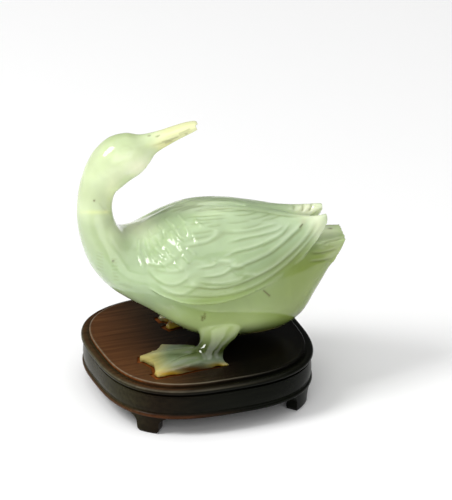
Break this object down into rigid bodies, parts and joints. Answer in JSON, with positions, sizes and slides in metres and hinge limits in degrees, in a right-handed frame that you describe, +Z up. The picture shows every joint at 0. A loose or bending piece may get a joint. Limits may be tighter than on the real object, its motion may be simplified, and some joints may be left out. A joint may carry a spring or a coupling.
{
  "type": "jade duck statuette",
  "caption": "Carved duck in pale green jade, looking back over its folded wings, standing with webbed feet in the sockets of a low, squared, dark hardwood stand.",
  "frame": {"origin": "on the floor, under the middle of the whole object's box", "axes": "+Z up; the duck's breast points roughly along -X and its tail along +X; +Y is its far side"},
  "size_m": [0.122, 0.1, 0.1327],
  "materials": {
    "jade": "polished",
    "rosewood": "satin"
  },
  "bodies": {
    "root": {"jade_duck": "jade", "wooden_stand": "rosewood"}
  },
  "joints": []
}
